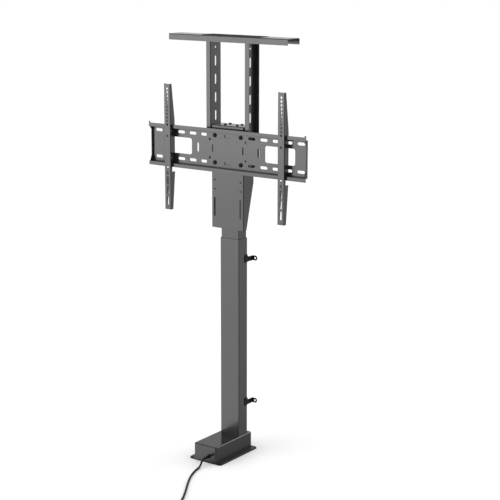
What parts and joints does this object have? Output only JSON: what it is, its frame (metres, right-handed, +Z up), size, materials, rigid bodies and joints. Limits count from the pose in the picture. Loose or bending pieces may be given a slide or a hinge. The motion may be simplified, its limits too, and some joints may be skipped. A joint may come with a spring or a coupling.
{
  "type": "motorized tv stand",
  "caption": "Floor-standing electric column lift with a slotted mounting plate, two hooked screen arms and a rail on uprights above the screen.",
  "frame": {"origin": "on the floor, at the underside of the base plate, on the axis of the lifting column", "axes": "+X to the right seen from in front of the screen side, -Y towards the front where the screen hangs, +Z up"},
  "size_m": [0.662, 0.7347, 1.4723],
  "materials": {
    "satin_black_steel": "satin",
    "glossy_black_cover": "semi-gloss",
    "black_strap_steel": "matte",
    "black_screws": "black oxide",
    "zinc_screws": "zinc plated",
    "cast_housing": "as cast",
    "turned_steel": "turned, greased",
    "bronze_gear": "machined",
    "motor_can": "rolled and plated",
    "aluminium_block": "machined",
    "glide_plastic": "moulded, matt",
    "board_green": "lacquered",
    "cord_rubber": "matt",
    "pad_rubber": "matt, fine-pored",
    "pin_brass": "polished"
  },
  "bodies": {
    "base": {"base_plate": "satin_black_steel", "base_cover": "glossy_black_cover", "cover_brackets": "black_screws", "cover_screws": "black_screws", "housing_screws": "zinc_screws", "gearbox_housing": "cast_housing", "motor": "motor_can", "motor_cradle": "glide_plastic", "screw_bearings": "turned_steel", "column_foot": "turned_steel", "foot_screws": "zinc_screws", "outer_tube": "satin_black_steel", "outer_glides": "glide_plastic", "wall_strap_upper_right": "black_strap_steel", "wall_strap_upper_left": "black_strap_steel", "wall_strap_lower_right": "black_strap_steel", "wall_strap_lower_left": "black_strap_steel", "strap_rivets": "black_screws", "control_board": "board_green", "cord_gland": "cord_rubber", "power_cord": "cord_rubber", "cord_coil": "cord_rubber", "coil_ties": "cord_rubber", "plug_body": "cord_rubber", "plug_pins": "pin_brass"},
    "worm_shaft": {"worm": "turned_steel"},
    "lift_screw": {"drive_screw": "turned_steel", "worm_wheel": "bronze_gear"},
    "middle_stage": {"middle_tube": "satin_black_steel", "middle_nut": "bronze_gear", "middle_bearing": "turned_steel", "middle_glides": "glide_plastic", "middle_top_glides": "glide_plastic"},
    "sleeve_screw": {"hollow_screw": "turned_steel"},
    "inner_stage": {"inner_tube": "satin_black_steel", "inner_nut": "bronze_gear", "inner_glides": "glide_plastic", "head_block": "aluminium_block", "carrier": "satin_black_steel", "head_screws": "black_screws", "mount_plate": "satin_black_steel", "mount_bolts": "black_screws", "mount_nuts": "black_screws", "upright_spacers": "satin_black_steel", "upright_screws": "black_screws", "upright_nuts": "black_screws"},
    "rail_frame": {"upright_left": "satin_black_steel", "upright_right": "satin_black_steel", "top_rail": "satin_black_steel", "rail_screws": "black_screws", "lid_pad": "pad_rubber"},
    "arm_left": {"arm_left": "satin_black_steel"},
    "arm_right": {"arm_right": "satin_black_steel"}
  },
  "joints": [
    {"name": "middle_lift", "type": "slide", "parent": "base", "child": "middle_stage", "axis": [0, 0, 1], "range_m": [-0.19, 0.26]},
    {"name": "inner_lift", "type": "slide", "parent": "middle_stage", "child": "inner_stage", "axis": [0, 0, 1], "range_m": [-0.19, 0.26]},
    {"name": "lift_screw_turn", "type": "hinge", "parent": "base", "child": "lift_screw", "pos_m": [0, 0, 0.0285], "axis": [0, 0, 1], "continuous": true},
    {"name": "sleeve_screw_turn", "type": "hinge", "parent": "middle_stage", "child": "sleeve_screw", "pos_m": [0, 0, 0.272], "axis": [0, 0, 1], "continuous": true},
    {"name": "worm_turn", "type": "hinge", "parent": "base", "child": "worm_shaft", "pos_m": [-0.025, 0, 0.0285], "axis": [0, 1, 0], "continuous": true},
    {"name": "rail_height", "type": "slide", "parent": "inner_stage", "child": "rail_frame", "axis": [0, 0, 1], "range_m": [-0.013, 0.013]},
    {"name": "arm_left_slide", "type": "slide", "parent": "inner_stage", "child": "arm_left", "axis": [1, 0, 0], "range_m": [-0.06, 0.14]},
    {"name": "arm_right_slide", "type": "slide", "parent": "inner_stage", "child": "arm_right", "axis": [1, 0, 0], "range_m": [-0.14, 0.06]}
  ],
  "couplings": [
    {"joint": "inner_lift", "follows": "middle_lift", "ratio": 1},
    {"joint": "lift_screw_turn", "follows": "middle_lift", "rad_per_m": 523.6},
    {"joint": "sleeve_screw_turn", "follows": "middle_lift", "rad_per_m": 523.6},
    {"joint": "worm_turn", "follows": "middle_lift", "rad_per_m": 7854}
  ]
}
